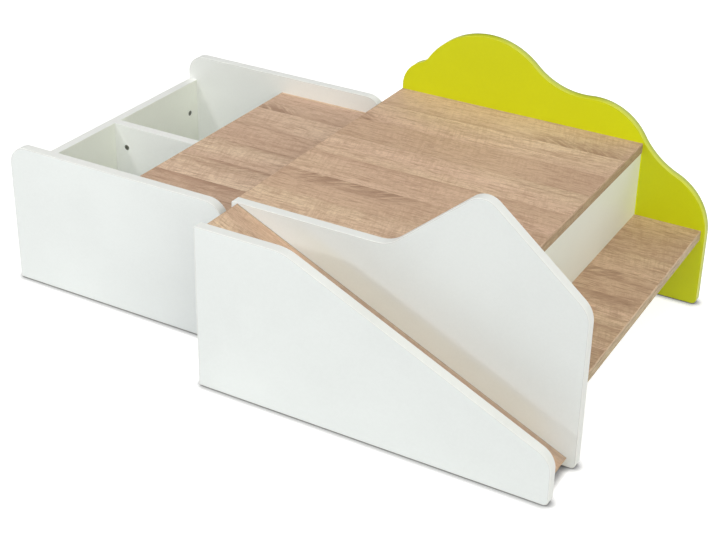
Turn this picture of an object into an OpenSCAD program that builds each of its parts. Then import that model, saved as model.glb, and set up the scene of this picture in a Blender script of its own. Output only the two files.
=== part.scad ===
// Children's table with a pull-out storage box, a ball ramp and a step.
// X runs along the table, Y from the ramp side to the cloud-shaped back, Z up.
// The floor is Z = 0, and the origin is the middle of the footprint with the box pulled out.

/* [Boards] */
// Thickness of every board
board_t = 25; // [22:0.5:27]
// Thickness of the edge bands on the oak boards
band_t = 2; // [1:0.5:3]
// Height of the glides under the upright boards
glide_h = 1.5; // [1:0.5:5]
// Radius of the lower corners at the ramp's foot
small_r = 12; // [6:1:18]
// Radius of the corners at the table's open end and under the box
end_r = 4; // [2:0.5:8]

/* [Table] */
// Length of the table's long panels
table_len = 850; // [850:10:900]
// Clear width between the hill panel and the cloud panel
inner_w = 765; // [700:5:820]
// Height of the table top above the floor
top_h = 400; // [396:1:403]
// Length of the table top
top_len = 668; // [660:1:680]
// How far the long panels stand above the table top
panel_rise = 2; // [0:0.5:4]
// Height of the step above the floor
step_h = 206; // [180:2:230]
// Depth of the step
step_depth = 173; // [150:1:173]

/* [Ramp] */
// Clear width of the ramp between its two panels
ramp_w = 117; // [100:1:140]
// Slope of the ramp and of the panel beside it, in degrees
ramp_angle = 24.8; // [24.7:0.1:25.5]
// Height of the outer ramp panel at its low end
ramp_panel_low = 112; // [95:1:130]

/* [Hill panel] */
// Height of the peak
hill_h = 566; // [530:2:600]
// Distance of the peak from the panel's left end
hill_x = 605; // [590:5:620]
// Slope of both sides of the hill, in degrees
hill_angle = 40; // [38:0.5:41]

/* [Cloud panel] */
// Height of the tallest lobe
cloud_h = 588; // [570:2:610]
// Radius of the tallest lobe
cloud_r = 195; // [188:1:202]

/* [Storage box] */
// Length of the box
box_len = 625; // [600:5:635]
// Height of the box's long sides
box_h = 366; // [350:2:368]
// Height of the board that covers half of the box
box_top_h = 319; // [300:1:330]
// Gap between the box and the table's panels, on each side
box_gap = 4; // [2:0.5:8]
// How far the box is pulled out
pull_out = 670; // [640:5:700]

/* [Hidden] */
$fn = 96;

// Levels and lines of the table
panel_h = top_h + panel_rise;
hill_y = board_t + ramp_w;
inner_y = hill_y + board_t;
cloud_y = inner_y + inner_w;
table_w = cloud_y + board_t;
top_under = top_h - board_t;
riser_x = top_len - band_t - board_t;
step_x = riser_x + board_t;
side_bend_r = 100;
side_low_r = 50;

// Ramp: a straight board with square ends, whose lower corner just clears the floor
ramp_foot_in = 31;
ramp_foot_x = table_len - ramp_foot_in;
ramp_foot_z = 1.5;
ramp_len = (top_h - ramp_foot_z - board_t * cos(ramp_angle)) / sin(ramp_angle);

// Hill panel: a flat stretch level with the table top, then a rounded peak
hill_peak_r = 45;
hill_foot_r = 80;
hill_shoulder_r = 60;
hill_tip = hill_h + hill_peak_r * (1 / cos(hill_angle) - 1);
hill_foot_x = hill_x - (hill_tip - panel_h) / tan(hill_angle);
hill_shoulder_h = hill_tip - (table_len - hill_x) * tan(hill_angle);

// Cloud panel: lobes as [x, z, radius], joined by hollows of these radii
cloud_left = [75, 411, 75];
cloud_top = [236, cloud_h - cloud_r, cloud_r];
cloud_mid = [534.5, 331, 154.5];
cloud_right = [table_len - 154, 192, 154];
hollow_left_r = 48;
hollow_mid_r = 186;
hollow_right_r = 208;

// Storage box
box_x = -pull_out;
box_y = inner_y + box_gap;
box_w = inner_w - 2 * box_gap;
box_in_y = box_y + board_t;
box_in_w = box_w - 2 * board_t;
box_corner_r = 50;
box_top_len = box_len / 2;
box_top_x = box_x + box_len - box_top_len;
box_wall_h = box_top_h - board_t;
box_end_in = box_x + board_t;
box_inner_x = box_x + box_len - board_t;
divider_y = box_in_y + (box_in_w - board_t) / 2;
bottom_t = 10;
bottom_z = 12;
groove_d = 8;

// Places of the joints: margins from the ends of a board, or levels above the floor
top_joint_margin = 80;
riser_top_joint_margin = 130;
riser_joint_z = [60, 300];
step_joint_inner = 42;
step_joint_outer = 49;
step_riser_joint_margin = 95;
ramp_joint_margin = 120;
box_top_joint_margin = 66;
box_joint_z = [66, 204];
divider_joint_z = [66, box_wall_h - 62];

// Cam fittings, their bolts and the dowels beside them
cam_r = 7.5;
cam_play = 0.1;
cam_depth = 17;
cam_sunk = 1;
cam_inset = 36;
cam_drive_w = 2.4;
cam_drive_len = 10;
cam_drive_d = 3;
bolt_r = 3;
bolt_bore_r = 4;
bolt_head_r = 3.4;
bolt_neck_r = 2;
bolt_collar_r = 3.7;
bolt_collar_len = 3;
bolt_neck_len = 4;
bolt_head_len = 3;
thread_len = 11;
dowel_r = 4;
dowel_play = 0.1;
dowel_step = 32;
dowel_in_panel = 13;
dowel_in_board = 22;
glide_r = 10;

// Distance of the outer glides from the ends of their boards
panel_glide_margin = 60;
riser_glide_margin = 120;
box_glide_margin = 50;

// Extra length of a cut beyond the face it opens
over = 1;

// Colours
white = [0.92, 0.93, 0.91];
lime = [0.80, 0.80, 0.10];
oak = [0.74, 0.60, 0.48];
oak_edge = [0.66, 0.54, 0.42];
zinc = [0.45, 0.45, 0.45];
beech = [0.85, 0.70, 0.50];
grey = [0.35, 0.35, 0.36];

// n places spread evenly from a to b, the first and last a margin in
function spread(a, b, n, margin) = [for (i = [0:n - 1]) a + margin + i * (b - a - 2 * margin) / (n - 1)];

// A butt joint: [middle of the joint, direction into the board, direction its cam faces]
function joints_x(xs, y, z, into, cam) = [for (x = xs) [[x, y, z], into, cam]];
function joints_y(x, ys, z, into, cam) = [for (y = ys) [[x, y, z], into, cam]];
function joints_z(x, y, zs, into, cam) = [for (z = zs) [[x, y, z], into, cam]];

top_joint_x = spread(0, step_x, 3, top_joint_margin);
top_joints = concat(
    joints_x(top_joint_x, inner_y, top_under + board_t / 2, [0, 1, 0], [0, 0, -1]),
    joints_x(top_joint_x, cloud_y, top_under + board_t / 2, [0, -1, 0], [0, 0, -1])
);
riser_mid_x = riser_x + board_t / 2;
riser_side_joints = concat(
    joints_z(riser_mid_x, inner_y, riser_joint_z, [0, 1, 0], [-1, 0, 0]),
    joints_z(riser_mid_x, cloud_y, riser_joint_z, [0, -1, 0], [-1, 0, 0])
);
riser_top_joints = joints_y(riser_mid_x, spread(inner_y, cloud_y, 3, riser_top_joint_margin),
    top_under, [0, 0, -1], [-1, 0, 0]);
step_mid_z = step_h - board_t / 2;
step_joint_x = [step_x + step_joint_inner, step_x + step_depth - step_joint_outer];
step_side_joints = concat(
    joints_x(step_joint_x, inner_y, step_mid_z, [0, 1, 0], [0, 0, -1]),
    joints_x(step_joint_x, cloud_y, step_mid_z, [0, -1, 0], [0, 0, -1])
);
step_riser_joints = joints_y(step_x, spread(inner_y, cloud_y, 3, step_riser_joint_margin),
    step_mid_z, [1, 0, 0], [0, 0, -1]);
ramp_up = [sin(ramp_angle), 0, cos(ramp_angle)];
ramp_along = [-cos(ramp_angle), 0, sin(ramp_angle)];
ramp_joint_s = spread(0, ramp_len, 3, ramp_joint_margin);
ramp_outer_joints = [for (s = ramp_joint_s)
    [[ramp_foot_x, board_t, ramp_foot_z] + s * ramp_along + board_t / 2 * ramp_up, [0, 1, 0], -ramp_up]];
ramp_inner_joints = [for (s = ramp_joint_s)
    [[ramp_foot_x, hill_y, ramp_foot_z] + s * ramp_along + board_t / 2 * ramp_up, [0, -1, 0], -ramp_up]];

box_front_joints = concat(
    joints_z(box_x + board_t / 2, box_in_y, box_joint_z, [0, 1, 0], [1, 0, 0]),
    joints_z(box_inner_x + board_t / 2, box_in_y, box_joint_z, [0, 1, 0], [-1, 0, 0])
);
box_back_joints = [for (j = box_front_joints) [j[0] + [0, box_in_w, 0], -j[1], j[2]]];
divider_mid_y = divider_y + board_t / 2;
divider_end_joints = joints_z(box_end_in, divider_mid_y, divider_joint_z, [1, 0, 0], [0, -1, 0]);
divider_inner_joints = joints_z(box_inner_x, divider_mid_y, divider_joint_z, [-1, 0, 0], [0, -1, 0]);
box_top_front_joints = joints_x(spread(box_top_x, box_top_x + box_top_len, 2, box_top_joint_margin),
    box_in_y, box_wall_h + board_t / 2, [0, 1, 0], [0, 0, -1]);
box_top_back_joints = [for (j = box_top_front_joints) [j[0] + [0, box_in_w, 0], -j[1], j[2]]];

table_joints = concat(top_joints, riser_side_joints, riser_top_joints, step_side_joints,
    step_riser_joints, ramp_outer_joints, ramp_inner_joints);
box_joints = concat(box_front_joints, box_back_joints, divider_end_joints, divider_inner_joints,
    box_top_front_joints, box_top_back_joints);

// Puts the model's own lines into the frame whose origin is the middle of the footprint
module place() {
    translate([-(table_len - pull_out) / 2, -table_w / 2, 0]) children();
}

// Outline with a round corner of its own radius at each point, given anticlockwise
function way(p, q) = (q - p) / norm(q - p);
function turn(p, q, r) = cross(concat(q - p, 0), concat(r - q, 0)).z;
function half_bend(p, q, r) = acos(way(p, q) * way(q, r)) / 2;
function corner_centre(p, q, r, radius) =
    q + (way(q, p) + way(q, r)) / norm(way(q, p) + way(q, r)) * radius / cos(half_bend(p, q, r));

module rounded_outline(points, radii) {
    n = len(points);
    before = [for (i = [0:n - 1]) points[(i + n - 1) % n]];
    after = [for (i = [0:n - 1]) points[(i + 1) % n]];
    setback = [for (i = [0:n - 1]) radii[i] * tan(half_bend(before[i], points[i], after[i]))];
    centre = [for (i = [0:n - 1]) corner_centre(before[i], points[i], after[i], radii[i])];
    bend = [for (i = [0:n - 1]) turn(before[i], points[i], after[i])];
    difference() {
        union() {
            polygon([for (i = [0:n - 1]) each [
                points[i] - setback[i] * way(before[i], points[i]),
                points[i] + setback[i] * way(points[i], after[i])
            ]]);
            for (i = [0:n - 1]) if (bend[i] > 0) translate(centre[i]) circle(radii[i]);
        }
        for (i = [0:n - 1]) if (bend[i] < 0) translate(centre[i]) circle(radii[i]);
    }
}

// Centre of a hollow of radius r that touches lobes a and b from above
function hollow_centre(a, b, r) =
    let (d = norm([b.x - a.x, b.y - a.y]), ra = a.z + r, rb = b.z + r)
    let (u = [b.x - a.x, b.y - a.y] / d, k = (ra * ra - rb * rb + d * d) / (2 * d))
    [a.x, a.y] + k * u + sqrt(ra * ra - k * k) * [-u.y, u.x];

module lobe(l) {
    translate([l.x, l.y]) circle(l.z);
}

// Fills the valley between two lobes down to the line between their centres, as a smooth hollow
module hollow(a, b, r) {
    c = hollow_centre(a, b, r);
    difference() {
        polygon([[a.x, a.y], [b.x, b.y], c]);
        translate(c) circle(r);
    }
}

// An upright board whose outline is drawn in X and Z, with its front face at y
module upright(y) {
    translate([0, y + board_t, 0]) rotate([90, 0, 0]) linear_extrude(board_t) children();
}

// Turns +X into the board and +Z towards the mouth of the cam, at a joint
module at_joint(j) {
    into = j[1];
    up = j[2];
    across = cross(up, into);
    multmatrix([
        [into.x, across.x, up.x, j[0].x],
        [into.y, across.y, up.y, j[0].y],
        [into.z, across.z, up.z, j[0].z],
        [0, 0, 0, 1]
    ]) children();
}

// Round bore or rod along local X
module rod(x, y, r, length) {
    translate([x, y, 0]) rotate([0, 90, 0]) cylinder(r = r, h = length);
}

// Bores in the edge and face of the board that carries the cams
module board_bores(joints) {
    for (j = joints) at_joint(j) {
        rod(-over, 0, bolt_bore_r, cam_inset + over);
        rod(-over, dowel_step, dowel_r + dowel_play, dowel_in_board + over);
        translate([cam_inset, 0, board_t / 2 - cam_depth])
            cylinder(r = cam_r + cam_play, h = cam_depth + over);
    }
}

// Bores in the face of the panel that the board's edge meets
module panel_bores(joints) {
    for (j = joints) at_joint(j) {
        rod(-thread_len, 0, bolt_r + cam_play, thread_len + over);
        rod(-dowel_in_panel, dowel_step, dowel_r + dowel_play, dowel_in_panel + over);
    }
}

// Cam: a drum with a cross-shaped drive and a mouth for the bolt's head
module cams(joints) {
    for (j = joints) at_joint(j) translate([cam_inset, 0, board_t / 2 - cam_depth]) {
        drum_h = cam_depth - cam_sunk;
        difference() {
            cylinder(r = cam_r, h = drum_h);
            for (a = [0, 90]) rotate([0, 0, a + 45])
                translate([-cam_drive_len / 2, -cam_drive_w / 2, drum_h - cam_drive_d])
                    cube([cam_drive_len, cam_drive_w, cam_drive_d + over]);
            translate([0, 0, cam_depth - board_t / 2]) {
                rod(-cam_r - over, 0, bolt_bore_r, cam_r + over);
                sphere(bolt_bore_r);
            }
        }
    }
}

// Bolt: thread in the panel, collar on its face, shank, neck and head in the cam
module cam_bolts(joints) {
    shank_end = cam_inset - bolt_neck_len - bolt_head_len / 2;
    head_end = cam_inset + bolt_head_len / 2;
    for (j = joints) at_joint(j) rotate([0, 90, 0]) rotate_extrude() polygon([
        [0, -thread_len], [bolt_r, -thread_len], [bolt_r, 0], [bolt_collar_r, 0],
        [bolt_collar_r, bolt_collar_len], [bolt_r, bolt_collar_len], [bolt_r, shank_end],
        [bolt_neck_r, shank_end], [bolt_neck_r, head_end - bolt_head_len],
        [bolt_head_r, head_end - bolt_head_len], [bolt_head_r, head_end], [0, head_end]
    ]);
}

module dowels(joints) {
    for (j = joints) at_joint(j)
        rod(-dowel_in_panel, dowel_step, dowel_r, dowel_in_panel + dowel_in_board - over);
}

module glides(places) {
    for (p = places) translate([p.x, p.y, 0]) cylinder(r = glide_r, h = glide_h);
}

// --- Table ---

module ramp_side_panel() {
    bend_x = table_len - (panel_h - ramp_panel_low) / tan(ramp_angle);
    color(white) place() difference() {
        upright(0) rounded_outline(
            [[0, glide_h], [table_len, glide_h], [table_len, ramp_panel_low],
             [bend_x, panel_h], [0, panel_h]],
            [end_r, small_r, side_low_r, side_bend_r, end_r]
        );
        panel_bores(ramp_outer_joints);
    }
}

module hill_panel() {
    color(white) place() difference() {
        upright(hill_y) rounded_outline(
            [[0, glide_h], [table_len, glide_h], [table_len, hill_shoulder_h],
             [hill_x, hill_tip], [hill_foot_x, panel_h], [0, panel_h]],
            [end_r, small_r, hill_shoulder_r, hill_peak_r, hill_foot_r, end_r]
        );
        panel_bores(ramp_inner_joints);
        panel_bores([for (j = concat(top_joints, riser_side_joints, step_side_joints)) if (j[1].y > 0) j]);
    }
}

module cloud_back_panel() {
    color(lime) place() difference() {
        upright(cloud_y) {
            rounded_outline(
                [[0, glide_h], [table_len, glide_h], [table_len, cloud_right.y],
                 [cloud_right.x, cloud_right.y], [cloud_mid.x, cloud_mid.y],
                 [cloud_top.x, cloud_top.y], [cloud_left.x, cloud_left.y], [0, cloud_left.y]],
                [end_r, small_r, 0, 0, 0, 0, 0, 0]
            );
            for (l = [cloud_left, cloud_top, cloud_mid, cloud_right]) lobe(l);
            hollow(cloud_left, cloud_top, hollow_left_r);
            hollow(cloud_top, cloud_mid, hollow_mid_r);
            hollow(cloud_mid, cloud_right, hollow_right_r);
        }
        panel_bores([for (j = concat(top_joints, riser_side_joints, step_side_joints)) if (j[1].y < 0) j]);
    }
}

module table_top() {
    color(oak) place() difference() {
        translate([band_t, inner_y, top_under]) cube([top_len - 2 * band_t, inner_w, board_t]);
        board_bores(top_joints);
        panel_bores(riser_top_joints);
    }
}

module table_top_bands() {
    color(oak_edge) place() for (x = [0, top_len - band_t])
        translate([x, inner_y, top_under]) cube([band_t, inner_w, board_t]);
}

module riser_panel() {
    color(white) place() difference() {
        translate([riser_x, inner_y, glide_h]) cube([board_t, inner_w, top_under - glide_h]);
        board_bores(concat(riser_side_joints, riser_top_joints));
        panel_bores(step_riser_joints);
    }
}

module step_shelf() {
    color(oak) place() difference() {
        translate([step_x, inner_y, step_h - board_t]) cube([step_depth - band_t, inner_w, board_t]);
        board_bores(concat(step_side_joints, step_riser_joints));
    }
}

module step_shelf_band() {
    color(oak_edge) place() translate([step_x + step_depth - band_t, inner_y, step_h - board_t])
        cube([band_t, inner_w, board_t]);
}

// A length of the sloping board, measured up from its foot
module ramp_length(from, length) {
    translate([ramp_foot_x, board_t, ramp_foot_z]) rotate([0, ramp_angle, 0])
        translate([-from - length, 0, 0]) cube([length, ramp_w, board_t]);
}

module ramp_board() {
    color(oak) place() difference() {
        ramp_length(band_t, ramp_len - 2 * band_t);
        board_bores(concat(ramp_outer_joints, ramp_inner_joints));
    }
}

module ramp_bands() {
    color(oak_edge) place() for (s = [0, ramp_len - band_t]) ramp_length(s, band_t);
}

module table_cams() {
    color(zinc) place() cams(table_joints);
}

module table_cam_bolts() {
    color(zinc) place() cam_bolts(table_joints);
}

module table_dowels() {
    color(beech) place() dowels(table_joints);
}

module table_glides() {
    color(grey) place() glides(concat(
        [for (y = [0, hill_y, cloud_y]) for (x = spread(0, table_len, 3, panel_glide_margin))
            [x, y + board_t / 2]],
        [for (y = spread(inner_y, cloud_y, 2, riser_glide_margin)) [riser_mid_x, y]]
    ));
}

// --- Storage box ---

// A long side of the box, with the groove for the bottom in the face at y = groove_y
module box_side(y, groove_y, joints) {
    x1 = box_x + box_len;
    difference() {
        upright(y) rounded_outline(
            [[box_x, glide_h], [x1, glide_h], [x1, box_h], [box_x, box_h]],
            [end_r, end_r, box_corner_r, box_corner_r]
        );
        translate([box_end_in - groove_d, groove_y, bottom_z])
            cube([box_inner_x - box_end_in + 2 * groove_d, groove_d, bottom_t]);
        panel_bores(joints);
    }
}

module box_front_side() {
    color(white) place() box_side(box_y, box_in_y - groove_d, concat(box_front_joints, box_top_front_joints));
}

module box_back_side() {
    back_y = box_in_y + box_in_w;
    color(white) place() box_side(back_y, back_y, concat(box_back_joints, box_top_back_joints));
}

// A short wall of the box between its long sides, with the groove in the face at x = groove_x
module box_wall(x, groove_x, own, others) {
    difference() {
        translate([x, box_in_y, glide_h]) cube([board_t, box_in_w, box_wall_h - glide_h]);
        translate([groove_x, box_in_y - over, bottom_z]) cube([groove_d, box_in_w + 2 * over, bottom_t]);
        board_bores(own);
        panel_bores(others);
    }
}

module box_end_panel() {
    own = [for (j = concat(box_front_joints, box_back_joints)) if (j[2].x > 0) j];
    color(white) place() box_wall(box_x, box_end_in - groove_d, own, divider_end_joints);
}

module box_inner_panel() {
    own = [for (j = concat(box_front_joints, box_back_joints)) if (j[2].x < 0) j];
    color(white) place() box_wall(box_inner_x, box_inner_x, own, divider_inner_joints);
}

module box_divider() {
    color(white) place() difference() {
        translate([box_end_in, divider_y, bottom_z + bottom_t])
            cube([box_inner_x - box_end_in, board_t, box_wall_h - bottom_z - bottom_t]);
        board_bores(concat(divider_end_joints, divider_inner_joints));
    }
}

module box_bottom() {
    color(white) place() translate([box_end_in - groove_d, box_in_y - groove_d, bottom_z])
        cube([box_inner_x - box_end_in + 2 * groove_d, box_in_w + 2 * groove_d, bottom_t]);
}

module box_top() {
    color(oak) place() difference() {
        translate([box_top_x + band_t, box_in_y, box_wall_h])
            cube([box_top_len - 2 * band_t, box_in_w, board_t]);
        board_bores(concat(box_top_front_joints, box_top_back_joints));
    }
}

module box_top_bands() {
    color(oak_edge) place() for (x = [box_top_x, box_top_x + box_top_len - band_t])
        translate([x, box_in_y, box_wall_h]) cube([band_t, box_in_w, board_t]);
}

module box_cams() {
    color(zinc) place() cams(box_joints);
}

module box_cam_bolts() {
    color(zinc) place() cam_bolts(box_joints);
}

module box_dowels() {
    color(beech) place() dowels(box_joints);
}

module box_glides() {
    side_x = spread(box_x, box_x + box_len, 3, box_glide_margin);
    color(grey) place() glides(concat(
        [for (y = [box_y, box_in_y + box_in_w]) for (x = side_x) [x, y + board_t / 2]],
        [for (x = [box_x, box_inner_x]) [x + board_t / 2, divider_mid_y]]
    ));
}

ramp_side_panel();
hill_panel();
cloud_back_panel();
table_top();
table_top_bands();
riser_panel();
step_shelf();
step_shelf_band();
ramp_board();
ramp_bands();
table_cams();
table_cam_bolts();
table_dowels();
table_glides();
box_front_side();
box_back_side();
box_end_panel();
box_inner_panel();
box_divider();
box_bottom();
box_top();
box_top_bands();
box_cams();
box_cam_bolts();
box_dowels();
box_glides();
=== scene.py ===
from math import cos, radians, sin

import bmesh
import bpy
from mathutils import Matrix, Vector


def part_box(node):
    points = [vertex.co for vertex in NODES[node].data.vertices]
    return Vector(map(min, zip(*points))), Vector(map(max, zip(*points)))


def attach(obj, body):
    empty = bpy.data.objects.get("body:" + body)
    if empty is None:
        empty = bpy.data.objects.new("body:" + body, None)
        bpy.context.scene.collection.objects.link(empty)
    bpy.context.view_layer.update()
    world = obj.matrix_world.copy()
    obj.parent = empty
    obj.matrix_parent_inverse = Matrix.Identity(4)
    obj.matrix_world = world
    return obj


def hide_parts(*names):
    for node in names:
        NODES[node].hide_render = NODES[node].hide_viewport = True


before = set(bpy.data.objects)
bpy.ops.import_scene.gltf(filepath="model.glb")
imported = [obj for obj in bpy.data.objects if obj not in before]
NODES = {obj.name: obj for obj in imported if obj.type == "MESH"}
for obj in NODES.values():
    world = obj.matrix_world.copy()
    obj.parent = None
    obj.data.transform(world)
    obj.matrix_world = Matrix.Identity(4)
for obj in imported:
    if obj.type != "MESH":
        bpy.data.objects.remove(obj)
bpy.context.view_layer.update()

X, Y, Z = Vector((1, 0, 0)), Vector((0, 1, 0)), Vector((0, 0, 1))
MM = 0.001

PANEL_EASE = 1.4 * MM       # radius of the arrises of the five long boards
EDGE_EASE = 0.8 * MM        # radius of the other boards' arrises
EASE_STEPS = 3
SEAM_RING = 2.0 * MM        # width of the ring that carries the edge band's seam
WELD = 0.005 * MM
IN_PLANE = 0.05 * MM        # how near a plane an edge has to lie to count as in it
NEAR_RIM = 2.0 * MM         # how near the board's ends a ring has to reach to count as its outline
STILL_FLAT = radians(0.1)   # angle up to which two faces are joined into one
SHARP = radians(38)         # angle above which an edge is shaded sharp
SAME_WAY = 0.999            # cosine above which two directions count as one
SQUARE = 0.05               # cosine below which they count as square to each other
FOLDED = 0.5                # cosine below which two faces meet in a sharp edge

RAMP_SLOPE = radians(24.8)  # the same as in the CAD
RAMP_UP = Vector((sin(RAMP_SLOPE), 0, cos(RAMP_SLOPE)))
RAMP_ALONG = Vector((cos(RAMP_SLOPE), 0, -sin(RAMP_SLOPE)))
RAMP_LEVEL = max(v.co.dot(RAMP_UP) for v in NODES["ramp_board"].data.vertices)
RAMP_LOW, RAMP_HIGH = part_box("ramp_board")


def placed(name, data):
    """A new object in the scene."""
    thing = bpy.data.objects.new(name, data)
    bpy.context.scene.collection.objects.link(thing)
    return thing


# ---------- Picking edges ----------

def box_of(points):
    """The low and high corner of the box round some points."""
    return (Vector([min(p[i] for p in points) for i in range(3)]),
            Vector([max(p[i] for p in points) for i in range(3)]))


def square_to(axis):
    """The other two directions, as indices."""
    return [i for i in range(3) if abs(axis[i]) < 0.5]


def at(axis, level):
    """Tells points in the plane square to an axis at a level."""
    return lambda p: abs(p.dot(axis) - level) < IN_PLANE


def on_side(node, outward):
    """Tells points on one side of a node's box."""
    low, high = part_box(node)
    return at(outward, max(low.dot(outward), high.dot(outward)))


def connected(items, neighbours):
    """Splits items into runs that hang together."""
    left = dict.fromkeys(items)
    while left:
        run, todo = [], [left.popitem()[0]]
        while todo:
            item = todo.pop()
            run.append(item)
            for other in neighbours(item):
                if other in left:
                    del left[other]
                    todo.append(other)
        yield run


def outline(axis):
    """Picks the arrises all round a board square to axis: the loops as large as the board itself."""
    def is_arris(e):
        if len(e.link_faces) != 2:
            return False
        a, b = (abs(f.normal.dot(axis)) for f in e.link_faces)
        return max(a, b) > SAME_WAY and min(a, b) < SQUARE

    def pick(bm):
        low, high = box_of([v.co for v in bm.verts])
        picked = []
        for run in connected([e for e in bm.edges if is_arris(e)],
                             lambda e: [other for v in e.verts for other in v.link_edges]):
            a, b = box_of([v.co for e in run for v in e.verts])
            if all(a[i] - low[i] < MM and high[i] - b[i] < MM for i in square_to(axis)):
                picked += run
        return picked
    return pick


def straight(along, *places):
    """Picks the sharp edges along a direction that lie in one of the places."""
    def wanted(e):
        start, end = (v.co for v in e.verts)
        if len(e.link_faces) != 2 or abs((end - start).normalized().dot(along)) < SAME_WAY:
            return False
        if e.link_faces[0].normal.dot(e.link_faces[1].normal) > FOLDED:
            return False
        return any(place((start + end) / 2) for place in places)
    return lambda bm: [e for e in bm.edges if wanted(e)]


# ---------- Boards with eased arrises ----------

def welded(node):
    """A copy of a CAD mesh with its doubled points joined and its flat faces whole."""
    bm = bmesh.new()
    bm.from_mesh(NODES[node].data)
    bmesh.ops.remove_doubles(bm, verts=bm.verts, dist=WELD)
    bmesh.ops.dissolve_limit(bm, angle_limit=STILL_FLAT, use_dissolve_boundaries=False,
                             verts=bm.verts, edges=bm.edges, delimit=set())
    bm.normal_update()
    return bm


def add_seam_ring(bm, axis):
    """Cuts a narrow ring inside the outline of both large faces.

    The ring's seam_near is 1 at its rim, and 0 on the face within it.
    """
    near = bm.verts.layers.float.new("seam_near")
    low, high = box_of([v.co for v in bm.verts])
    for side in (axis, -axis):
        in_face = at(side, max(v.co.dot(side) for v in bm.verts))
        faces = [f for f in bm.faces if f.normal.dot(side) > SAME_WAY and in_face(f.verts[0].co)]
        ring = bmesh.ops.inset_region(bm, faces=faces, thickness=SEAM_RING, use_boundary=True,
                                      use_even_offset=True)["faces"]
        within = {v for f in faces for v in f.verts}
        for run in connected(ring, lambda f: [other for e in f.edges for other in e.link_faces]):
            rim = {v for f in run for v in f.verts} - within
            a, b = box_of([v.co for v in rim])
            if all(a[i] - low[i] < NEAR_RIM and high[i] - b[i] < NEAR_RIM for i in square_to(axis)):
                for v in rim:
                    v[near] = 1.0


pieces = {}


def eased(node, body, slot, pick=None, radius=EDGE_EASE, banded=None, ending="_eased"):
    """Stands for a CAD node: the same mesh, welded, with the picked arrises rounded.

    banded is the axis of a board whose two large faces get a seam ring.
    """
    bm = welded(node)
    if pick:
        bmesh.ops.bevel(bm, geom=pick(bm), offset=radius, offset_type="OFFSET", segments=EASE_STEPS,
                        profile=0.5, affect="EDGES", clamp_overlap=False)
    if banded:
        bm.normal_update()
        add_seam_ring(bm, banded)
    for f in bm.faces:
        f.smooth = True
    mesh = bpy.data.meshes.new(node + ending)
    bm.to_mesh(mesh)
    bm.free()
    mesh.set_sharp_from_angle(angle=SHARP)
    piece = placed(node + ending, mesh)
    flat = piece.modifiers.new("flat_faces", "WEIGHTED_NORMAL")
    flat.keep_sharp = True
    flat.weight = 100
    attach(piece, body)
    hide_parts(node)
    pieces[node] = piece


for node, body, slot in [("ramp_side_panel", "table", "white_board"),
                         ("hill_panel", "table", "white_board"),
                         ("cloud_back_panel", "table", "lime_board"),
                         ("box_front_side", "storage_box", "white_board"),
                         ("box_back_side", "storage_box", "white_board")]:
    eased(node, body, slot, outline(Y), PANEL_EASE, banded=Y)

# Which arrises are rounded on the other boards and bands: their direction, and the sides they lie on
for node, body, slot, along, sides in [
        ("box_end_panel", "storage_box", "white_board", Y, (-Z, Z)),
        ("box_inner_panel", "storage_box", "white_board", Y, (-Z,)),
        ("riser_panel", "table", "white_board", Y, (-Z,)),
        ("box_divider", "storage_box", "white_board", X, (Z,)),
        ("table_top_bands", "table", "oak_edge", Y, (-X, X)),
        ("box_top_bands", "storage_box", "oak_edge", Y, (-X, X)),
        ("step_shelf_band", "table", "oak_edge", Y, (X,)),
        ("ramp_bands", "table", "oak_edge", Y, (-X, X, -Z, Z))]:
    eased(node, body, slot, straight(along, *(on_side(node, side) for side in sides)))
eased("ramp_board", "table", "oak_board", straight(RAMP_ALONG, at(RAMP_UP, RAMP_LEVEL)))

# The cams keep every edge: their CAD meshes have slivers, which the welded copies leave out
for node, body in [("table_cams", "table"), ("box_cams", "storage_box")]:
    eased(node, body, "zinc", ending="_clean")


# ---------- Node helpers ----------

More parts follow.
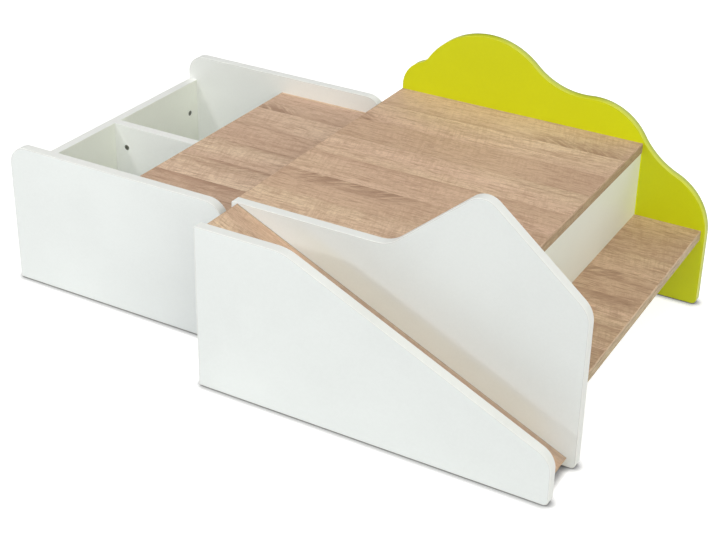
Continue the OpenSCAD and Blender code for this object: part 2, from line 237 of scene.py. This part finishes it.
class Net:
    """Builds the nodes of one new material or world."""

    MIX_A, MIX_B, MIX_RESULT = 6, 7, 2      # the colour sockets of a mix node

    def __init__(self, owner):
        self.owner = owner
        owner.use_nodes = True
        self.tree = owner.node_tree
        self.tree.nodes.clear()

    def node(self, kind, settings=(), **inputs):
        """Adds a node. The keywords name its input sockets, with _ for a blank."""
        n = self.tree.nodes.new(kind)
        for key, value in dict(settings).items():
            setattr(n, key, value)
        for key, value in inputs.items():
            self.feed(n.inputs[key.replace("_", " ")], value)
        return n

    def feed(self, socket, value):
        """Links another node's output to a socket, or sets its constant."""
        if isinstance(value, bpy.types.NodeSocket):
            self.tree.links.new(value, socket)
        elif value is not None:
            socket.default_value = value

    def math(self, operation, *values):
        n = self.node("ShaderNodeMath", {"operation": operation})
        for socket, value in zip(n.inputs, values):
            self.feed(socket, value)
        return n.outputs[0]

    def add(self, a, b):
        return self.math("ADD", a, b)

    def mul(self, a, b):
        return self.math("MULTIPLY", a, b)

    def absolute(self, a):
        return self.math("ABSOLUTE", a)

    def span(self, value, start, full, out_start=0.0, out_full=1.0):
        """Goes smoothly from out_start to out_full while value goes from start to full."""
        n = self.node("ShaderNodeMapRange", {"interpolation_type": "SMOOTHSTEP", "clamp": True})
        for socket, v in zip(n.inputs, (value, start, full, out_start, out_full)):
            self.feed(socket, v)
        return n.outputs[0]

    def vector(self, x, y, z):
        return self.node("ShaderNodeCombineXYZ", X=x, Y=y, Z=z).outputs[0]

    def split(self, vector):
        return self.node("ShaderNodeSeparateXYZ", Vector=vector).outputs

    def noise(self, vector, scale=1.0, detail=2.0, rough=0.5):
        return self.node("ShaderNodeTexNoise", Vector=vector, Scale=scale, Detail=detail,
                         Roughness=rough).outputs["Fac"]

    def mix(self, fac, a, b, blend="MIX"):
        n = self.node("ShaderNodeMix", {"data_type": "RGBA", "blend_type": blend})
        self.feed(n.inputs[0], fac)
        for index, value in ((self.MIX_A, a), (self.MIX_B, b)):
            self.feed(n.inputs[index], (*value, 1.0) if isinstance(value, tuple) else value)
        return n.outputs[self.MIX_RESULT]

    def bump(self, height, depth, strength):
        return self.node("ShaderNodeBump", Height=height, Distance=depth, Strength=strength).outputs[0]

    def choose(self, fac, a, b):
        n = self.node("ShaderNodeMixShader")
        for socket, value in zip(n.inputs, (fac, a, b)):
            self.feed(socket, value)
        return n.outputs[0]

    def output(self, kind, shader):
        self.feed(self.node(kind).inputs[0], shader)
        return self.owner

    def finish(self, color, roughness, normal, **more):
        bsdf = self.node("ShaderNodeBsdfPrincipled", Base_Color=color, Roughness=roughness,
                         Normal=normal, **more)
        return self.output("ShaderNodeOutputMaterial", bsdf.outputs[0])


def new_material(name):
    """A material's net, and the place and normal on its surface, in the frame."""
    net = Net(bpy.data.materials.new(name))
    coordinates = net.node("ShaderNodeTexCoord").outputs
    return net, coordinates["Object"], coordinates["Normal"]


def rgb(r, g, b):
    """An sRGB colour in 0..255 as linear values."""
    def linear(c):
        c /= 255
        return c / 12.92 if c <= 0.04045 else ((c + 0.055) / 1.055) ** 2.4
    return tuple(linear(c) for c in (r, g, b))


# ---------- White and lime foil ----------

# Noises of the foil: scale, detail and roughness
CLOUDY = (3.5, 3.0, 0.55)
MOTTLE = (160.0, 2.0, 0.6)
ARRIS_HIGHLIGHT_PATCHES = (45.0, 3.0, 0.6)
PEARL = (900.0, 2.0, 0.5)
FACE_SPREAD = 0.018         # how much the face's colour varies either way

# Where a finish starts and is full as the surface turns from the edge, 0, to the large face, 1
ON_FACE, ON_EDGE = (0.97, 0.995), (0.97, 0.75)
OFF_FACE, OFF_EDGE = (0.995, 0.90), (0.05, 0.4)
SEAM_AT = 0.6               # where in the ring the seam lies, from 0 within to 1 at the rim
SEAM_FADE = (0.16, 0.04)    # how far from there it ends, and is full
SEAM_STRENGTH, ARRIS_HIGHLIGHT_STRENGTH = 0.7, 0.55

# The part of the channel that takes a warm painted bounce light from the ramp's oak: where it starts along
# X, how long it fades at the low end, and at which heights above the ramp it ends and is full
CHANNEL_START, CHANNEL_FADE, CHANNEL_HEIGHT = (0.02, 0.17), 0.1, (0.075, 0.040)


def beside_ramp(net, place):
    """Where a face stands in the ramp's channel, close above the ramp, and takes the painted bounce light.
    """
    x, y, z = net.split(place)
    above = net.add(net.add(net.mul(x, RAMP_UP.x), net.mul(z, RAMP_UP.z)), -RAMP_LEVEL)
    between = net.mul(net.math("GREATER_THAN", y, RAMP_LOW.y - MM),
                      net.math("LESS_THAN", y, RAMP_HIGH.y + MM))
    lengthwise = net.mul(net.span(x, *CHANNEL_START),
                         net.span(x, RAMP_HIGH.x, RAMP_HIGH.x - CHANNEL_FADE))
    return net.mul(net.mul(between, lengthwise), net.span(above, *CHANNEL_HEIGHT))


def painted_board(name, axis, face, edge, arris, ramp_bounce_light=None, seam_and_highlight_tone=0.58, rear=None, painted_light_tints=()):
    """Satin foil on a board: a fine pearl texture, an edge band with its seam on the arris, and a painted
    highlight on the rounded arrises, stronger in some places than others.

    A warm colour, painted bounce light from the ramp's oak, multiplies the faces in the ramp's channel. The
    seam's tone scales the edge colour on the seam; above 1 it paints a highlight line there.
    rear is where along Y the edge band starts to darken as painted shade, where it has darkened, and its
    colour there.
    Painted light and shade multiply the face that looks along -Y: where along X each starts, where it is
    full, and its tone.
    """
    net, place, normal = new_material(name)
    # facing is 1 on the two large faces, 0 on the edges, and between them on the rounded arrises
    facing = net.absolute(net.split(normal)["XYZ".index(axis)])
    near = net.node("ShaderNodeAttribute", {"attribute_name": "seam_near"}).outputs["Fac"]
    on_edge = net.math("MAXIMUM", net.span(facing, *ON_EDGE), net.math("GREATER_THAN", near, SEAM_AT))
    on_arris = net.mul(net.span(facing, *OFF_FACE), net.span(facing, *OFF_EDGE))
    seam = net.mul(net.span(net.absolute(net.add(near, -SEAM_AT)), *SEAM_FADE), net.span(facing, *ON_FACE))

    mottle = net.noise(place, *MOTTLE)
    shade = net.add(net.span(net.noise(place, *CLOUDY), 0.3, 0.7),
                    net.span(mottle, 0.35, 0.65, -0.2, 0.2))
    face_color = net.mix(shade, tuple(c * (1 - FACE_SPREAD) for c in face),
                         tuple(min(1.0, c * (1 + FACE_SPREAD)) for c in face))
    if ramp_bounce_light:
        face_color = net.mix(beside_ramp(net, place), face_color, ramp_bounce_light, "MULTIPLY")
    # Painted light and shade along X on the face that looks along -Y
    for start, full, tint in painted_light_tints:
        there = net.mul(net.span(net.split(place)[0], start, full),
                        net.math("LESS_THAN", net.split(normal)[1], -0.5))
        face_color = net.mix(there, face_color, tint, "MULTIPLY")

    color = net.mix(on_edge, face_color, edge)
    # Painted highlight: the rounded arrises take the lighter arris colour, more in some places than others
    arris_highlight = net.mul(on_arris, net.span(net.noise(place, *ARRIS_HIGHLIGHT_PATCHES), 0.35, 0.65, 0.5, 1.0))
    color = net.mix(net.mul(arris_highlight, ARRIS_HIGHLIGHT_STRENGTH), color, arris)
    # Painted shade: the edge band darkens towards its rear
    if rear:
        start, full, rear_shade_color = rear
        to_rear = net.mul(on_edge, net.span(net.split(place)[1], start, full))
        color = net.mix(to_rear, color, rear_shade_color)
    # The seam: a dark line on white, and on lime a painted highlight line
    color = net.mix(net.mul(seam, SEAM_STRENGTH), color, tuple(c * seam_and_highlight_tone for c in edge))
    return net.finish(color, net.span(mottle, 0.3, 0.7, 0.36, 0.46),
                      net.bump(net.noise(place, *PEARL), 0.02 * MM, 0.5), Specular_IOR_Level=0.45)


WHITE_FACE, WHITE_EDGE, WHITE_ARRIS_HIGHLIGHT = rgb(241, 245, 245), rgb(240, 241, 239), rgb(253, 253, 250)
# The long white boards take a warm painted bounce light low in the ramp's channel
white_y = painted_board("white_board_y", "Y", WHITE_FACE, WHITE_EDGE, WHITE_ARRIS_HIGHLIGHT,
                        ramp_bounce_light=(0.985, 0.965, 0.915))
# Lit and shaded copies of the one white foil: the box's back side and divider lighter, as painted light,
# and the boards along X warmer and a little darker, as painted warm light and shade
white_inner_lit = painted_board("white_board_inner_lit", "Y", rgb(248, 250, 247), WHITE_EDGE, WHITE_ARRIS_HIGHLIGHT)
white_x_warm_lit = painted_board("white_board_x_warm_lit", "X", rgb(240, 243, 233), WHITE_EDGE, WHITE_ARRIS_HIGHLIGHT)
white_z = painted_board("white_board_z", "Z", WHITE_FACE, WHITE_EDGE, WHITE_ARRIS_HIGHLIGHT)

CLOUD_LOW, CLOUD_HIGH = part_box("cloud_back_panel")
TABLE_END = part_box("table_top_bands")[1].x
# Painted light and shade on the lime face: lighter towards the table's end, and deeper beyond it, beside
# the step.
# Its edge band takes a painted shade towards its rear, and its seam a painted highlight line
lime_y = painted_board(
    "lime_board_y", "Y", rgb(224, 231, 1), rgb(210, 216, 20), rgb(228, 232, 60), seam_and_highlight_tone=1.12,
    rear=(CLOUD_LOW.y + 7 * MM, CLOUD_HIGH.y - 4 * MM, rgb(172, 182, 50)),
    painted_light_tints=[(0.15, TABLE_END, (1.07, 1.08, 1.2)),
           (TABLE_END, TABLE_END + 2 * MM, (0.86, 0.86, 0.6)),
           (TABLE_END + 0.06, TABLE_END + 0.16, (1.06, 1.06, 1.0))])


# ---------- Printed oak ----------

OAK = {"pale": (234, 208, 176), "warm": (231, 198, 173), "mid": (208, 176, 149),
       "dark": (182, 147, 122), "deep": (145, 111, 89)}
WALL_SHADE = rgb(124, 122, 116)
PLANK = 0.1115              # width of a plank
PLANK_SEED = 4.7            # how far apart in the noise two planks lie
TONE_STEP, TONE_START = 2.4, -3.97      # of the sine that sets each plank's tone
DRIFT, WAVER, SWAY = 0.040, 0.005, 0.045        # how far the figure and the flames wander, in metres
SAW_SLANT = 0.3             # of the saw marks, as a slope
SLANT = radians(34)         # of the flames, against the grain

# Noises of the figure: waves per metre along and across the grain, seed, detail and roughness
FIGURE = {
    "drift": (1.9, 5.0, 3.1, 1.0, 0.5),
    "waver": (9.0, 30.0, 8.4, 1.0, 0.5),
    "hue": (1.1, 5.0, 12.5, 1.0, 0.5),
    "broad": (1.1, 17.0, 1.7, 1.0, 0.5),
    "middle": (1.7, 58.0, 5.2, 2.0, 0.5),
    "narrow": (16.0, 130.0, 7.3, 2.0, 0.6),
    "fine": (34.0, 420.0, 9.9, 2.0, 0.6),
    "pores": (120.0, 900.0, 2.4, 2.0, 0.6),
    "saw": (120.0, 14.0, 6.6, 2.0, 0.75),
    "saw_area": (5.0, 11.0, 4.2, 1.0, 0.5),
    "sway": (7.0, 20.0, 21.3, 1.0, 0.5),
    "strokes": (125.0, 17.0, 0.0, 2.0, 0.45),
    "gather": (3.2, 1.0, 14.8, 1.0, 0.5),
    "edge_shade": (2.4, 1.0, 17.0, 1.0, 0.5),
    "edge_line": (6.0, 1.0, 19.0, 1.0, 0.5),
}


def toned(red, green, blue):
    """The oak's colours with their red, green and blue scaled."""
    return {k: (r * red, g * green, b * blue) for k, (r, g, b) in OAK.items()}


def oak(name, along, across, start, phase, tone=OAK, flames_at=(), side=None, top=None, walls=None,
        painted_shade=None, bold=1.0, crisp=1.0, sawn=1.0):
    """Printed oak in planks along the grain, which are counted across it from start.

    Each plank has a dark edge: its upper one up to plank 0, and its lower one from plank 1 on.
    Slanted flames run from that edge at flames_at, given as (plank, place, half length, strength).
    A band's outer face is multiplied by side, a painted shade, less so in the few millimetres under its
    top.
    Painted shade darkens the oak close to the walls, two places along Y. A painted shade along X is given
    by where it starts to darken, where it has darkened, and the tone that it takes there.
    bold is the strength of the long figure, crisp that of the fibres, and sawn that of the saw marks.
    """
    net, place, normal = new_material(name)
    x, y, z = net.split(place)
    ways = {"X": x, "Y": y, "Z": z}
    if along == "ramp":
        u = net.add(net.mul(x, RAMP_ALONG.x), net.mul(z, RAMP_ALONG.z))
    else:
        u = ways[along]
    v = net.add(ways[across], -start)
    rows = net.mul(v, 1 / PLANK)
    plank = net.math("FLOOR", rows)
    mirrored = net.math("LESS_THAN", plank, 0.5)
    depth = net.absolute(net.add(mirrored, net.mul(net.math("FRACT", rows), -1.0)))
    own = net.add(net.mul(plank, PLANK_SEED), phase)

    def figure(layer, lengthwise=u, crosswise=v):
        per_length, per_width, seed, detail, rough = FIGURE[layer]
        return net.noise(net.vector(net.mul(lengthwise, per_length), net.mul(crosswise, per_width),
                                    net.add(own, seed)), 1.0, detail, rough)

    # The long figure wanders a little across the planks
    w = net.add(v, net.add(net.mul(figure("drift"), DRIFT), net.mul(figure("waver"), WAVER)))
    hue, broad, middle, narrow, fine, pores = (
        figure(layer, crosswise=w) for layer in ("hue", "broad", "middle", "narrow", "fine", "pores"))
    plank_tone = net.math("SINE", net.add(net.mul(plank, TONE_STEP), phase + TONE_START))
    saw_marks = net.mul(net.span(figure("saw", net.add(u, net.mul(v, SAW_SLANT))), 0.42, 0.64),
                        net.span(figure("saw_area"), 0.36, 0.62, 0.35, 1.0))

    # Flames: strokes that run away from the dark edge at a slant, wavy and thinner as they go. They gather
    # here and there, and at the given places
    sway = net.add(u, net.mul(figure("sway"), SWAY))
    away = net.mul(depth, PLANK)
    stroke_across = net.add(net.mul(sway, sin(SLANT)), net.mul(away, cos(SLANT)))
    stroke_along = net.add(net.mul(sway, -cos(SLANT)), net.mul(away, sin(SLANT)))
    strokes = figure("strokes", stroke_across, stroke_along)
    gather = net.mul(net.span(figure("gather"), 0.58, 0.72), 0.5)
    for number, middle_at, half, strength in flames_at:
        here = net.mul(net.math("COMPARE", plank, float(number), 0.5), strength)
        reach = net.span(net.absolute(net.add(u, -middle_at)), half * 1.3, half * 0.5)
        gather = net.math("MAXIMUM", gather, net.mul(here, reach))
    flames = net.mul(net.span(depth, 0.62, 0.03), gather)
    # The dark edge: a broad shade and a fine line, which come and go along the grain
    edge_shade = net.mul(net.span(depth, 0.42, 0.0), net.span(figure("edge_shade"), 0.34, 0.64))
    edge_line = net.mul(net.span(depth, 0.045, 0.0), net.span(figure("edge_line"), 0.36, 0.62))

    pale, warm, mid, dark, deep = (rgb(*tone[k]) for k in ("pale", "warm", "mid", "dark", "deep"))
    color = net.mix(net.span(hue, 0.36, 0.64), warm, pale)
    for layer, strength, layer_color in [
            (net.span(plank_tone, 0.6, -1.0), 0.85, mid),
            (net.span(broad, 0.62, 0.36), 0.50 * bold, mid),
            (edge_shade, 0.48 * bold, dark),
            (net.span(middle, 0.50, 0.72), 0.45 * bold, dark),
            (net.span(narrow, 0.48, 0.66), 0.50 * crisp, dark),
            (edge_line, 0.28, deep),
            (flames, net.span(strokes, 0.36, 0.62, 0.15, 0.75), deep),
            (flames, net.span(strokes, 0.42, 0.34, 0.0, 0.45), pale),
            (net.span(fine, 0.50, 0.66), 0.42 * crisp, deep),
            (net.span(pores, 0.54, 0.70), 0.42, deep),
            (saw_marks, 0.36 * sawn, dark)]:
        color = net.mix(net.mul(layer, strength), color, layer_color)

    # Painted shade: the oak darkens along X
    if painted_shade:
        shade_from, shade_full, shade_tone = painted_shade
        color = net.mix(net.span(x, shade_from, shade_full), color, shade_tone, "MULTIPLY")
    # Painted shade on a band's outer face, fading out under its top
    if side:
        outer = net.span(net.absolute(net.split(normal)[0]), 0.3, 0.8)
        if top:
            outer = net.mul(outer, net.span(z, top - 2 * MM, top - 6 * MM, 0.15, 1.0))
        color = net.mix(outer, color, side, "MULTIPLY")
    # Painted shade on the ramp board: a thin dark line along each wall, and a broad shade in the low part
    # of the channel
    if walls:
        gap = net.math("MINIMUM", net.add(y, -walls[0]), net.add(net.mul(y, -1.0), walls[1]))
        joint_shade = net.span(gap, 5 * MM, 0.5 * MM, 0.0, 0.66)
        channel = net.mul(net.span(gap, 34 * MM, 10 * MM, 0.0, 0.36), net.span(x, 0.05, 0.18))
        color = net.mix(net.math("MAXIMUM", joint_shade, channel), color, WALL_SHADE)

    sunk = net.add(net.add(net.span(pores, 0.58, 0.74), net.mul(fine, 0.6)), net.mul(saw_marks, 0.5))
    return net.finish(color, net.span(fine, 0.3, 0.7, 0.52, 0.64),
                      net.bump(net.mul(sunk, -1.0), 0.06 * MM, 0.6), Specular_IOR_Level=0.35)


def oak_band(name, node, start, phase, side):
    """An edge band of a node: short grain, with a painted shade that makes its outer face darker than its
    top arris.
    """
    return oak(name, "Y", "Z", start, phase, side=side, top=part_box(node)[1].z)


# The table top takes a painted shade towards its right end, where the hill panel shades it
oak_top = oak("oak_table_top", "X", "Y", -0.0025, 0.0,
              flames_at=[(-2, 0.10, 0.17, 1.0), (3, 0.46, 0.12, 0.8), (2, -0.08, 0.03, 0.9),
                         (0, 0.50, 0.09, 0.4)],
              painted_shade=(0.34, 0.56, (0.90, 0.875, 0.86)), bold=0.7, sawn=1.05)
oak_box = oak("oak_box_top", "X", "Y", 0.0805, 2.9, toned(0.992, 0.997, 1.015),
              flames_at=[(2, -0.39, 0.06, 0.9), (-2, -0.26, 0.09, 0.5), (-1, -0.26, 0.07, 0.4),
                         (-3, -0.27, 0.08, 0.5)], bold=1.15)
# The step's oak is toned darker and warmer, as painted shade
oak_step = oak("oak_step", "X", "Y", 0.1515, 5.3, toned(0.96, 0.955, 0.92),
               flames_at=[(-1, 0.62, 0.05, 0.9), (-2, 0.675, 0.06, 0.6)], bold=1.4, crisp=1.3, sawn=1.2)
oak_ramp = oak("oak_ramp", "ramp", "Y", -0.385, 8.1, toned(1.01, 1.01, 1.01),
               flames_at=[(0, -0.05, 0.10, 0.6), (-1, 0.45, 0.10, 0.6)], walls=(RAMP_LOW.y, RAMP_HIGH.y))
oak_band_top = oak_band("oak_edge_top", "table_top_bands", 0.31, 1.5, (0.748, 0.782, 0.681))
oak_band_box = oak_band("oak_edge_box", "box_top_bands", 0.31, 2.5, (0.748, 0.782, 0.681))
oak_band_step = oak_band("oak_edge_step", "step_shelf_band", 0.13, 4.5, (0.835, 0.885, 0.80))


# ---------- Fittings ----------

def metal(name):
    """Zinc-plated steel: fine turned lines and dull patches."""
    net, place, _ = new_material(name)
    patches = net.noise(place, 180.0, 3.0, 0.6)
    lines = net.noise(place, 2600.0, 1.0, 0.5)
    color = net.mix(net.span(patches, 0.35, 0.7), rgb(116, 117, 112), rgb(160, 160, 152))
    return net.finish(color, net.span(lines, 0.3, 0.7, 0.28, 0.45), net.bump(lines, 0.02 * MM, 0.5),
                      Metallic=1.0)


def beech(name):
    """Beech dowels: short flecks along the grain."""
    net, place, _ = new_material(name)
    x, y, z = net.split(place)
    stretched = net.vector(net.mul(x, 260.0), net.mul(y, 260.0), net.mul(z, 1400.0))
    flecks = net.noise(stretched, 1.0, 2.0, 0.6)
    color = net.mix(net.span(flecks, 0.35, 0.7), rgb(222, 184, 138), rgb(190, 146, 100))
    return net.finish(color, 0.6, net.bump(flecks, 0.05 * MM, 0.5))


def plastic(name):
    """Moulded grey plastic with a fine spark texture and scuffs."""
    net, place, _ = new_material(name)
    grain = net.noise(place, 1400.0, 2.0, 0.6)
    scuffs = net.noise(place, 120.0, 4.0, 0.65)
    color = net.mix(net.span(scuffs, 0.45, 0.75), rgb(96, 96, 98), rgb(124, 124, 124))
    return net.finish(color, net.span(scuffs, 0.4, 0.7, 0.45, 0.62), net.bump(grain, 0.03 * MM, 0.6))


zinc, dowel_wood, grey = metal("zinc_plate"), beech("beech_dowel"), plastic("grey_glide")
FINISHES = {
    "ramp_side_panel": white_y, "hill_panel": white_y, "cloud_back_panel": lime_y,
    "box_front_side": white_y, "box_back_side": white_inner_lit,
    "box_end_panel": white_x_warm_lit, "box_inner_panel": white_x_warm_lit, "riser_panel": white_x_warm_lit,
    "box_divider": white_inner_lit, "box_bottom": white_z,
    "table_top": oak_top, "box_top": oak_box, "step_shelf": oak_step, "ramp_board": oak_ramp,
    "table_top_bands": oak_band_top, "box_top_bands": oak_band_box,
    "step_shelf_band": oak_band_step, "ramp_bands": oak_band_step,
    "table_cams": zinc, "table_cam_bolts": zinc, "box_cams": zinc, "box_cam_bolts": zinc,
    "table_dowels": dowel_wood, "box_dowels": dowel_wood,
    "table_glides": grey, "box_glides": grey,
}
for node, material in FINISHES.items():
    mesh = pieces.get(node, NODES[node]).data
    mesh.materials.clear()
    mesh.materials.append(material)


# ---------- Floor and world ----------

FLOOR_HALF = 14.0
FLOOR_BOUNCE = (0.72, 0.72, 0.71, 1)    # what the floor throws back at the object
PAPER = (0.52, 0.52, 0.52)              # what it reflects to the camera, and how it glows
PAPER_GLOW = 0.78
CONTACT_REACH = 0.021                   # how far from a board it darkens, and how strongly
CONTACT_POWER = 1.6
WORLD_LIGHT = 0.10
WHITE = (1, 1, 1, 1)


def floor_material():
    """A pale floor, white to the camera and in reflections, with a painted contact shadow that darkens it
    close to what stands on it.
    """
    net = Net(bpy.data.materials.new("pale_floor"))
    bounce = net.node("ShaderNodeBsdfDiffuse", Color=FLOOR_BOUNCE)
    near = net.node("ShaderNodeAmbientOcclusion", {"samples": 8}, Distance=CONTACT_REACH)
    shade = net.math("POWER", near.outputs["AO"], CONTACT_POWER)
    paper = net.node("ShaderNodeBsdfDiffuse", Color=net.mix(shade, (0.0, 0.0, 0.0), PAPER))
    glow = net.node("ShaderNodeEmission", Color=WHITE, Strength=net.mul(shade, PAPER_GLOW))
    shown = net.node("ShaderNodeAddShader")
    net.feed(shown.inputs[0], paper.outputs[0])
    net.feed(shown.inputs[1], glow.outputs[0])
    path = net.node("ShaderNodeLightPath").outputs
    seen = net.math("MAXIMUM", net.math("MAXIMUM", path["Is Camera Ray"], path["Is Glossy Ray"]),
                    path["Is Transmission Ray"])
    return net.output("ShaderNodeOutputMaterial", net.choose(seen, bounce.outputs[0], shown.outputs[0]))


floor_mesh = bpy.data.meshes.new("studio_floor")
floor_mesh.from_pydata([(-FLOOR_HALF, -FLOOR_HALF, 0), (FLOOR_HALF, -FLOOR_HALF, 0),
                        (FLOOR_HALF, FLOOR_HALF, 0), (-FLOOR_HALF, FLOOR_HALF, 0)], [], [(0, 1, 2, 3)])
floor = placed("studio_floor", floor_mesh)
floor_mesh.materials.append(floor_material())


def studio_world():
    """White to the camera, and a low even light on the object."""
    net = Net(bpy.data.worlds.new("studio"))
    light = net.node("ShaderNodeBackground", Color=WHITE, Strength=WORLD_LIGHT)
    white = net.node("ShaderNodeBackground", Color=WHITE, Strength=1.0)
    path = net.node("ShaderNodeLightPath").outputs
    seen = net.math("MAXIMUM", path["Is Camera Ray"], path["Is Transmission Ray"])
    return net.output("ShaderNodeOutputWorld", net.choose(seen, light.outputs[0], white.outputs[0]))


bpy.context.scene.world = studio_world()


# ---------- Lights and camera ----------

# Wide, even suns that light the object alike all over: where each comes from, its strength and its colour
SUNS = {
    "front": ((0.0, -1.0, 1.3), 0.69, (0.99, 1.0, 1.0)),
    "top": ((0.0, -0.3, 1.0), 0.44, (1.0, 1.0, 0.95)),
    "right": ((1.0, -0.5, 0.8), 1.38, (1.0, 1.0, 0.93)),
    "left": ((-1.0, -0.2, 0.6), 0.79, (1.0, 1.0, 1.0)),
    "back": ((0.25, 1.0, 0.45), 0.78, (0.97, 0.99, 1.0)),
}
SUN_WIDTH = radians(50)

# The key: a round softbox in front on the left, whose shadow of the ramp panel crosses the hill panel
KEY_AT, KEY_AIM = Vector((-1.58, -3.036, 1.817)), Vector((0.0, -0.1, 0.25))
KEY_SIZE, KEY_ENERGY = 0.36, 19.5

# The camera, fitted to the boards' edges in the photo
CAMERA_AT = (1.5657, -2.6860, 1.8304)
CAMERA_TURN = (radians(63.618), radians(-1.663), radians(28.581))
SENSOR, LENS = 36.0, 72.885         # in millimetres
SHIFT_X, SHIFT_Y = -0.05866, -0.09777
CAMERA_REACH = 60.0


for name, (towards, strength, color) in SUNS.items():
    sun = bpy.data.lights.new(name, "SUN")
    sun.energy = strength
    sun.color = color
    sun.angle = SUN_WIDTH
    placed(name, sun).rotation_euler = Vector(towards).to_track_quat("Z", "Y").to_euler()

softbox = bpy.data.lights.new("key", "AREA")
softbox.shape = "DISK"
softbox.size = KEY_SIZE
softbox.energy = KEY_ENERGY
key = placed("key", softbox)
key.location = KEY_AT
key.rotation_euler = (KEY_AT - KEY_AIM).to_track_quat("Z", "Y").to_euler()

camera_data = bpy.data.cameras.new("photo_camera")
camera_data.sensor_width = SENSOR
camera_data.lens = LENS
camera_data.shift_x = SHIFT_X
camera_data.shift_y = SHIFT_Y
camera_data.clip_end = CAMERA_REACH
camera = placed("photo_camera", camera_data)
camera.location = CAMERA_AT
camera.rotation_euler = CAMERA_TURN
bpy.context.scene.camera = camera

bpy.context.scene.view_settings.view_transform = "Standard"
bpy.context.view_layer.update()
